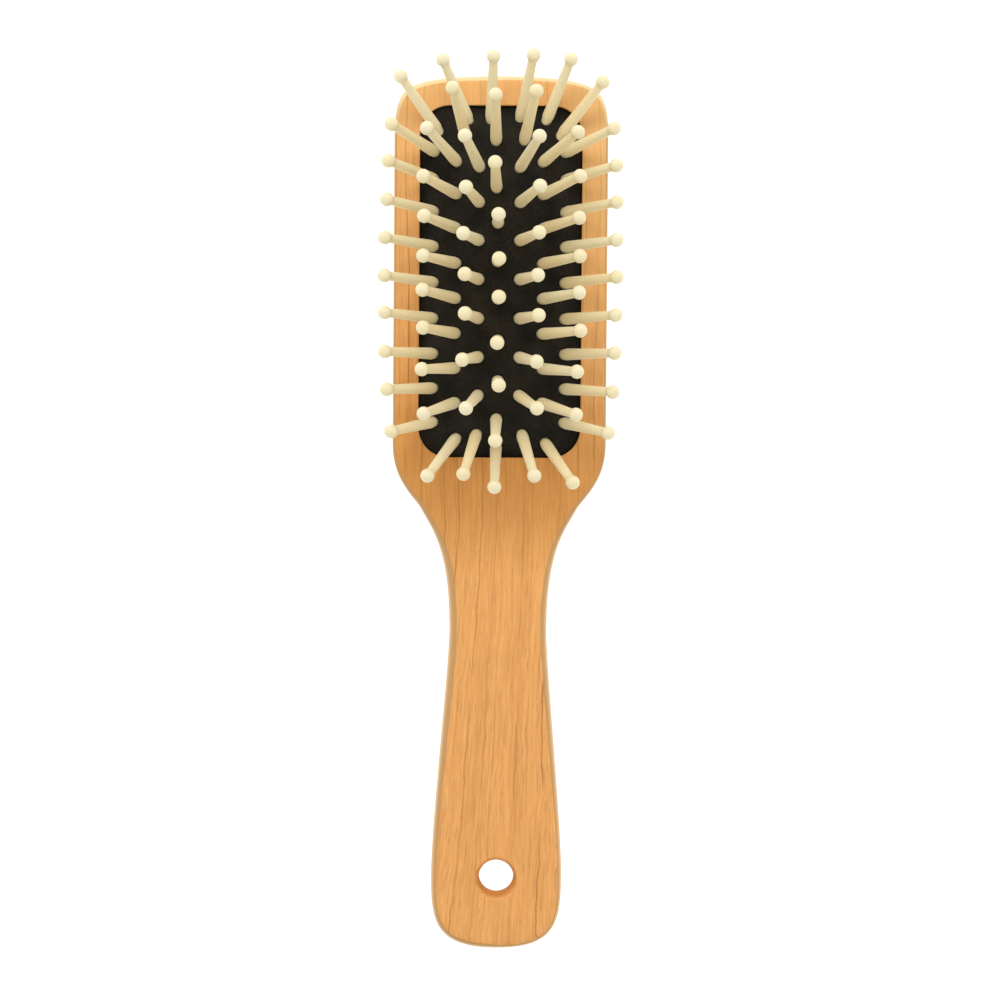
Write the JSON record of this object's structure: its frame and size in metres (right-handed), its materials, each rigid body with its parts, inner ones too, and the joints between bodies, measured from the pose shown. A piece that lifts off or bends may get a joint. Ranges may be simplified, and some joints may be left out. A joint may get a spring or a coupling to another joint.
{
  "type": "paddle hair brush",
  "caption": "Wooden paddle hair brush: flat board with rounded handle and hanging hole, domed black rubber air cushion in a pocket, fanned ball-tipped wooden pins.",
  "frame": {"origin": "on the flat back face, under the middle of the cushion", "axes": "+Z out of the bristle side, +Y along the board towards the toe of the head, +X to the right when the pins face the viewer and the toe is up"},
  "size_m": [0.0605, 0.2256, 0.0348],
  "materials": {
    "board": "satin varnish",
    "cushion": "matte",
    "pins": "smooth sanded"
  },
  "bodies": {
    "paddle": {"board": "board"},
    "cushion": {"cushion": "cushion"},
    "pin_left_outer_1": {"pin_left_outer_1": "pins"},
    "pin_left_outer_2": {"pin_left_outer_2": "pins"},
    "pin_left_outer_3": {"pin_left_outer_3": "pins"},
    "pin_left_outer_4": {"pin_left_outer_4": "pins"},
    "pin_left_outer_5": {"pin_left_outer_5": "pins"},
    "pin_left_outer_6": {"pin_left_outer_6": "pins"},
    "pin_left_outer_7": {"pin_left_outer_7": "pins"},
    "pin_left_outer_8": {"pin_left_outer_8": "pins"},
    "pin_left_outer_9": {"pin_left_outer_9": "pins"},
    "pin_right_outer_1": {"pin_right_outer_1": "pins"},
    "pin_right_outer_2": {"pin_right_outer_2": "pins"},
    "pin_right_outer_3": {"pin_right_outer_3": "pins"},
    "pin_right_outer_4": {"pin_right_outer_4": "pins"},
    "pin_right_outer_5": {"pin_right_outer_5": "pins"},
    "pin_right_outer_6": {"pin_right_outer_6": "pins"},
    "pin_right_outer_7": {"pin_right_outer_7": "pins"},
    "pin_right_outer_8": {"pin_right_outer_8": "pins"},
    "pin_right_outer_9": {"pin_right_outer_9": "pins"},
    "pin_left_middle_1": {"pin_left_middle_1": "pins"},
    "pin_left_middle_2": {"pin_left_middle_2": "pins"},
    "pin_left_middle_3": {"pin_left_middle_3": "pins"},
    "pin_left_middle_4": {"pin_left_middle_4": "pins"},
    "pin_left_middle_5": {"pin_left_middle_5": "pins"},
    "pin_left_middle_6": {"pin_left_middle_6": "pins"},
    "pin_left_middle_7": {"pin_left_middle_7": "pins"},
    "pin_left_middle_8": {"pin_left_middle_8": "pins"},
    "pin_right_middle_1": {"pin_right_middle_1": "pins"},
    "pin_right_middle_2": {"pin_right_middle_2": "pins"},
    "pin_right_middle_3": {"pin_right_middle_3": "pins"},
    "pin_right_middle_4": {"pin_right_middle_4": "pins"},
    "pin_right_middle_5": {"pin_right_middle_5": "pins"},
    "pin_right_middle_6": {"pin_right_middle_6": "pins"},
    "pin_right_middle_7": {"pin_right_middle_7": "pins"},
    "pin_right_middle_8": {"pin_right_middle_8": "pins"},
    "pin_left_inner_1": {"pin_left_inner_1": "pins"},
    "pin_left_inner_2": {"pin_left_inner_2": "pins"},
    "pin_left_inner_3": {"pin_left_inner_3": "pins"},
    "pin_left_inner_4": {"pin_left_inner_4": "pins"},
    "pin_left_inner_5": {"pin_left_inner_5": "pins"},
    "pin_left_inner_6": {"pin_left_inner_6": "pins"},
    "pin_left_inner_7": {"pin_left_inner_7": "pins"},
    "pin_right_inner_1": {"pin_right_inner_1": "pins"},
    "pin_right_inner_2": {"pin_right_inner_2": "pins"},
    "pin_right_inner_3": {"pin_right_inner_3": "pins"},
    "pin_right_inner_4": {"pin_right_inner_4": "pins"},
    "pin_right_inner_5": {"pin_right_inner_5": "pins"},
    "pin_right_inner_6": {"pin_right_inner_6": "pins"},
    "pin_right_inner_7": {"pin_right_inner_7": "pins"},
    "pin_toe_1": {"pin_toe_1": "pins"},
    "pin_toe_2": {"pin_toe_2": "pins"},
    "pin_toe_3": {"pin_toe_3": "pins"},
    "pin_toe_4": {"pin_toe_4": "pins"},
    "pin_toe_5": {"pin_toe_5": "pins"},
    "pin_toe_6": {"pin_toe_6": "pins"},
    "pin_toe_second_1": {"pin_toe_second_1": "pins"},
    "pin_toe_second_2": {"pin_toe_second_2": "pins"},
    "pins_centre_column": {"pins_centre_column": "pins"},
    "pins_heel_row": {"pins_heel_row": "pins"}
  },
  "joints": [
    {"name": "cushion_press", "type": "slide", "parent": "paddle", "child": "cushion", "axis": [0, 0, -1], "range_m": [0, 0.003], "stiffness_N_per_m": 6700, "deforming": ["cushion"]},
    {"name": "pin_left_outer_1_rock", "type": "hinge", "parent": "paddle", "child": "pin_left_outer_1", "pos_m": [-0.0169, 0.0325, 0.01126], "axis": [0, 1, 0], "range_deg": [-8, 8], "stiffness_Nm_per_rad": 0.02},
    {"name": "pin_left_outer_2_rock", "type": "hinge", "parent": "paddle", "child": "pin_left_outer_2", "pos_m": [-0.0169, 0.02553, 0.01155], "axis": [0, 1, 0], "range_deg": [-8, 8], "stiffness_Nm_per_rad": 0.02},
    {"name": "pin_left_outer_3_rock", "type": "hinge", "parent": "paddle", "child": "pin_left_outer_3", "pos_m": [-0.0169, 0.01745, 0.01166], "axis": [0, 1, 0], "range_deg": [-8, 8], "stiffness_Nm_per_rad": 0.02},
    {"name": "pin_left_outer_4_rock", "type": "hinge", "parent": "paddle", "child": "pin_left_outer_4", "pos_m": [-0.0169, 0.00872, 0.01168], "axis": [0, 1, 0], "range_deg": [-8, 8], "stiffness_Nm_per_rad": 0.02},
    {"name": "pin_left_outer_5_rock", "type": "hinge", "parent": "paddle", "child": "pin_left_outer_5", "pos_m": [-0.0169, -0.00028, 0.01168], "axis": [0, 1, 0], "range_deg": [-8, 8], "stiffness_Nm_per_rad": 0.02},
    {"name": "pin_left_outer_6_rock", "type": "hinge", "parent": "paddle", "child": "pin_left_outer_6", "pos_m": [-0.0169, -0.00928, 0.01168], "axis": [0, 1, 0], "range_deg": [-8, 8], "stiffness_Nm_per_rad": 0.02},
    {"name": "pin_left_outer_7_rock", "type": "hinge", "parent": "paddle", "child": "pin_left_outer_7", "pos_m": [-0.0169, -0.01814, 0.01166], "axis": [0, 1, 0], "range_deg": [-8, 8], "stiffness_Nm_per_rad": 0.02},
    {"name": "pin_left_outer_8_rock", "type": "hinge", "parent": "paddle", "child": "pin_left_outer_8", "pos_m": [-0.0169, -0.02679, 0.01152], "axis": [0, 1, 0], "range_deg": [-8, 8], "stiffness_Nm_per_rad": 0.02},
    {"name": "pin_left_outer_9_rock", "type": "hinge", "parent": "paddle", "child": "pin_left_outer_9", "pos_m": [-0.0169, -0.0353, 0.01104], "axis": [0, 1, 0], "range_deg": [-8, 8], "stiffness_Nm_per_rad": 0.02},
    {"name": "pin_right_outer_1_rock", "type": "hinge", "parent": "paddle", "child": "pin_right_outer_1", "pos_m": [0.0163, 0.0325, 0.0115], "axis": [0, 1, 0], "range_deg": [-8, 8], "stiffness_Nm_per_rad": 0.02},
    {"name": "pin_right_outer_2_rock", "type": "hinge", "parent": "paddle", "child": "pin_right_outer_2", "pos_m": [0.0163, 0.02553, 0.01185], "axis": [0, 1, 0], "range_deg": [-8, 8], "stiffness_Nm_per_rad": 0.02},
    {"name": "pin_right_outer_3_rock", "type": "hinge", "parent": "paddle", "child": "pin_right_outer_3", "pos_m": [0.0163, 0.01745, 0.01197], "axis": [0, 1, 0], "range_deg": [-8, 8], "stiffness_Nm_per_rad": 0.02},
    {"name": "pin_right_outer_4_rock", "type": "hinge", "parent": "paddle", "child": "pin_right_outer_4", "pos_m": [0.0163, 0.00872, 0.012], "axis": [0, 1, 0], "range_deg": [-8, 8], "stiffness_Nm_per_rad": 0.02},
    {"name": "pin_right_outer_5_rock", "type": "hinge", "parent": "paddle", "child": "pin_right_outer_5", "pos_m": [0.0163, -0.00028, 0.012], "axis": [0, 1, 0], "range_deg": [-8, 8], "stiffness_Nm_per_rad": 0.02},
    {"name": "pin_right_outer_6_rock", "type": "hinge", "parent": "paddle", "child": "pin_right_outer_6", "pos_m": [0.0163, -0.00928, 0.01199], "axis": [0, 1, 0], "range_deg": [-8, 8], "stiffness_Nm_per_rad": 0.02},
    {"name": "pin_right_outer_7_rock", "type": "hinge", "parent": "paddle", "child": "pin_right_outer_7", "pos_m": [0.0163, -0.01814, 0.01197], "axis": [0, 1, 0], "range_deg": [-8, 8], "stiffness_Nm_per_rad": 0.02},
    {"name": "pin_right_outer_8_rock", "type": "hinge", "parent": "paddle", "child": "pin_right_outer_8", "pos_m": [0.0163, -0.02679, 0.01181], "axis": [0, 1, 0], "range_deg": [-8, 8], "stiffness_Nm_per_rad": 0.02},
    {"name": "pin_right_outer_9_rock", "type": "hinge", "parent": "paddle", "child": "pin_right_outer_9", "pos_m": [0.0163, -0.0353, 0.01125], "axis": [0, 1, 0], "range_deg": [-8, 8], "stiffness_Nm_per_rad": 0.02},
    {"name": "pin_left_middle_1_rock", "type": "hinge", "parent": "cushion", "child": "pin_left_middle_1", "pos_m": [-0.0112, 0.0299, 0.01349], "axis": [0, 1, 0], "range_deg": [-8, 8], "stiffness_Nm_per_rad": 0.02},
    {"name": "pin_left_middle_2_rock", "type": "hinge", "parent": "cushion", "child": "pin_left_middle_2", "pos_m": [-0.0112, 0.0217, 0.014], "axis": [0, 1, 0], "range_deg": [-8, 8], "stiffness_Nm_per_rad": 0.02},
    {"name": "pin_left_middle_3_rock", "type": "hinge", "parent": "cushion", "child": "pin_left_middle_3", "pos_m": [-0.0112, 0.01315, 0.01412], "axis": [0, 1, 0], "range_deg": [-8, 8], "stiffness_Nm_per_rad": 0.02},
    {"name": "pin_left_middle_4_rock", "type": "hinge", "parent": "cushion", "child": "pin_left_middle_4", "pos_m": [-0.0112, 0.00443, 0.01413], "axis": [0, 1, 0], "range_deg": [-8, 8], "stiffness_Nm_per_rad": 0.02},
    {"name": "pin_left_middle_5_rock", "type": "hinge", "parent": "cushion", "child": "pin_left_middle_5", "pos_m": [-0.0112, -0.00435, 0.01413], "axis": [0, 1, 0], "range_deg": [-8, 8], "stiffness_Nm_per_rad": 0.02},
    {"name": "pin_left_middle_6_rock", "type": "hinge", "parent": "cushion", "child": "pin_left_middle_6", "pos_m": [-0.0112, -0.0131, 0.01412], "axis": [0, 1, 0], "range_deg": [-8, 8], "stiffness_Nm_per_rad": 0.02},
    {"name": "pin_left_middle_7_rock", "type": "hinge", "parent": "cushion", "child": "pin_left_middle_7", "pos_m": [-0.0112, -0.02177, 0.014], "axis": [0, 1, 0], "range_deg": [-8, 8], "stiffness_Nm_per_rad": 0.02},
    {"name": "pin_left_middle_8_rock", "type": "hinge", "parent": "cushion", "child": "pin_left_middle_8", "pos_m": [-0.0112, -0.0304, 0.01344], "axis": [0, 1, 0], "range_deg": [-8, 8], "stiffness_Nm_per_rad": 0.02},
    {"name": "pin_right_middle_1_rock", "type": "hinge", "parent": "cushion", "child": "pin_right_middle_1", "pos_m": [0.0106, 0.0299, 0.01365], "axis": [0, 1, 0], "range_deg": [-8, 8], "stiffness_Nm_per_rad": 0.02},
    {"name": "pin_right_middle_2_rock", "type": "hinge", "parent": "cushion", "child": "pin_right_middle_2", "pos_m": [0.0106, 0.0217, 0.01419], "axis": [0, 1, 0], "range_deg": [-8, 8], "stiffness_Nm_per_rad": 0.02},
    {"name": "pin_right_middle_3_rock", "type": "hinge", "parent": "cushion", "child": "pin_right_middle_3", "pos_m": [0.0106, 0.01315, 0.01431], "axis": [0, 1, 0], "range_deg": [-8, 8], "stiffness_Nm_per_rad": 0.02},
    {"name": "pin_right_middle_4_rock", "type": "hinge", "parent": "cushion", "child": "pin_right_middle_4", "pos_m": [0.0106, 0.00443, 0.01432], "axis": [0, 1, 0], "range_deg": [-8, 8], "stiffness_Nm_per_rad": 0.02},
    {"name": "pin_right_middle_5_rock", "type": "hinge", "parent": "cushion", "child": "pin_right_middle_5", "pos_m": [0.0106, -0.00435, 0.01432], "axis": [0, 1, 0], "range_deg": [-8, 8], "stiffness_Nm_per_rad": 0.02},
    {"name": "pin_right_middle_6_rock", "type": "hinge", "parent": "cushion", "child": "pin_right_middle_6", "pos_m": [0.0106, -0.0131, 0.01431], "axis": [0, 1, 0], "range_deg": [-8, 8], "stiffness_Nm_per_rad": 0.02},
    {"name": "pin_right_middle_7_rock", "type": "hinge", "parent": "cushion", "child": "pin_right_middle_7", "pos_m": [0.0106, -0.02177, 0.01419], "axis": [0, 1, 0], "range_deg": [-8, 8], "stiffness_Nm_per_rad": 0.02},
    {"name": "pin_right_middle_8_rock", "type": "hinge", "parent": "cushion", "child": "pin_right_middle_8", "pos_m": [0.0106, -0.0304, 0.01359], "axis": [0, 1, 0], "range_deg": [-8, 8], "stiffness_Nm_per_rad": 0.02},
    {"name": "pin_left_inner_1_rock", "type": "hinge", "parent": "cushion", "child": "pin_left_inner_1", "pos_m": [-0.0054, 0.0284, 0.01482], "axis": [0, 1, 0], "range_deg": [-8, 8], "stiffness_Nm_per_rad": 0.02},
    {"name": "pin_left_inner_2_rock", "type": "hinge", "parent": "cushion", "child": "pin_left_inner_2", "pos_m": [-0.0054, 0.01954, 0.01537], "axis": [0, 1, 0], "range_deg": [-8, 8], "stiffness_Nm_per_rad": 0.02},
    {"name": "pin_left_inner_3_rock", "type": "hinge", "parent": "cushion", "child": "pin_left_inner_3", "pos_m": [-0.0054, 0.01008, 0.01546], "axis": [0, 1, 0], "range_deg": [-8, 8], "stiffness_Nm_per_rad": 0.02},
    {"name": "pin_left_inner_4_rock", "type": "hinge", "parent": "cushion", "child": "pin_left_inner_4", "pos_m": [-0.0054, 0.00036, 0.01546], "axis": [0, 1, 0], "range_deg": [-8, 8], "stiffness_Nm_per_rad": 0.02},
    {"name": "pin_left_inner_5_rock", "type": "hinge", "parent": "cushion", "child": "pin_left_inner_5", "pos_m": [-0.0054, -0.00937, 0.01546], "axis": [0, 1, 0], "range_deg": [-8, 8], "stiffness_Nm_per_rad": 0.02},
    {"name": "pin_left_inner_6_rock", "type": "hinge", "parent": "cushion", "child": "pin_left_inner_6", "pos_m": [-0.0054, -0.01899, 0.01538], "axis": [0, 1, 0], "range_deg": [-8, 8], "stiffness_Nm_per_rad": 0.02},
    {"name": "pin_left_inner_7_rock", "type": "hinge", "parent": "cushion", "child": "pin_left_inner_7", "pos_m": [-0.0054, -0.0285, 0.0148], "axis": [0, 1, 0], "range_deg": [-8, 8], "stiffness_Nm_per_rad": 0.02},
    {"name": "pin_right_inner_1_rock", "type": "hinge", "parent": "cushion", "child": "pin_right_inner_1", "pos_m": [0.0048, 0.0284, 0.01488], "axis": [0, 1, 0], "range_deg": [-8, 8], "stiffness_Nm_per_rad": 0.02},
    {"name": "pin_right_inner_2_rock", "type": "hinge", "parent": "cushion", "child": "pin_right_inner_2", "pos_m": [0.0048, 0.01954, 0.01544], "axis": [0, 1, 0], "range_deg": [-8, 8], "stiffness_Nm_per_rad": 0.02},
    {"name": "pin_right_inner_3_rock", "type": "hinge", "parent": "cushion", "child": "pin_right_inner_3", "pos_m": [0.0048, 0.01008, 0.01554], "axis": [0, 1, 0], "range_deg": [-8, 8], "stiffness_Nm_per_rad": 0.02},
    {"name": "pin_right_inner_4_rock", "type": "hinge", "parent": "cushion", "child": "pin_right_inner_4", "pos_m": [0.0048, 0.00036, 0.01554], "axis": [0, 1, 0], "range_deg": [-8, 8], "stiffness_Nm_per_rad": 0.02},
    {"name": "pin_right_inner_5_rock", "type": "hinge", "parent": "cushion", "child": "pin_right_inner_5", "pos_m": [0.0048, -0.00937, 0.01554], "axis": [0, 1, 0], "range_deg": [-8, 8], "stiffness_Nm_per_rad": 0.02},
    {"name": "pin_right_inner_6_rock", "type": "hinge", "parent": "cushion", "child": "pin_right_inner_6", "pos_m": [0.0048, -0.01899, 0.01545], "axis": [0, 1, 0], "range_deg": [-8, 8], "stiffness_Nm_per_rad": 0.02},
    {"name": "pin_right_inner_7_rock", "type": "hinge", "parent": "cushion", "child": "pin_right_inner_7", "pos_m": [0.0048, -0.0285, 0.01487], "axis": [0, 1, 0], "range_deg": [-8, 8], "stiffness_Nm_per_rad": 0.02},
    {"name": "pin_toe_1_rock", "type": "hinge", "parent": "paddle", "child": "pin_toe_1", "pos_m": [-0.0162, 0.0382, 0.01091], "axis": [0, 1, 0], "range_deg": [-8, 8], "stiffness_Nm_per_rad": 0.02},
    {"name": "pin_toe_2_rock", "type": "hinge", "parent": "paddle", "child": "pin_toe_2", "pos_m": [-0.0085, 0.0409, 0.01128], "axis": [0, 1, 0], "range_deg": [-8, 8], "stiffness_Nm_per_rad": 0.02},
    {"name": "pin_toe_3_rock", "type": "hinge", "parent": "paddle", "child": "pin_toe_3", "pos_m": [-0.0026, 0.0409, 0.01152], "axis": [0, 1, 0], "range_deg": [-8, 8], "stiffness_Nm_per_rad": 0.02},
    {"name": "pin_toe_4_rock", "type": "hinge", "parent": "paddle", "child": "pin_toe_4", "pos_m": [0.0048, 0.0414, 0.01121], "axis": [0, 1, 0], "range_deg": [-8, 8], "stiffness_Nm_per_rad": 0.02},
    {"name": "pin_toe_5_rock", "type": "hinge", "parent": "paddle", "child": "pin_toe_5", "pos_m": [0.0115, 0.041, 0.01099], "axis": [0, 1, 0], "range_deg": [-8, 8], "stiffness_Nm_per_rad": 0.02},
    {"name": "pin_toe_6_rock", "type": "hinge", "parent": "paddle", "child": "pin_toe_6", "pos_m": [0.0154, 0.0373, 0.01126], "axis": [0, 1, 0], "range_deg": [-8, 8], "stiffness_Nm_per_rad": 0.02},
    {"name": "pin_toe_second_1_rock", "type": "hinge", "parent": "paddle", "child": "pin_toe_second_1", "pos_m": [-0.0089, 0.036, 0.01292], "axis": [0, 1, 0], "range_deg": [-8, 8], "stiffness_Nm_per_rad": 0.02},
    {"name": "pin_toe_second_2_rock", "type": "hinge", "parent": "paddle", "child": "pin_toe_second_2", "pos_m": [0.0058, 0.0354, 0.01347], "axis": [0, 1, 0], "range_deg": [-8, 8], "stiffness_Nm_per_rad": 0.02},
    {"name": "centre_column_rock", "type": "hinge", "parent": "cushion", "child": "pins_centre_column", "pos_m": [-0.0013, 0, 0.01524], "axis": [0, 1, 0], "range_deg": [-8, 8], "stiffness_Nm_per_rad": 0.16},
    {"name": "heel_row_rock", "type": "hinge", "parent": "paddle", "child": "pins_heel_row", "pos_m": [-0.0008, -0.03962, 0.01182], "axis": [1, 0, 0], "range_deg": [-8, 8], "stiffness_Nm_per_rad": 0.1}
  ]
}
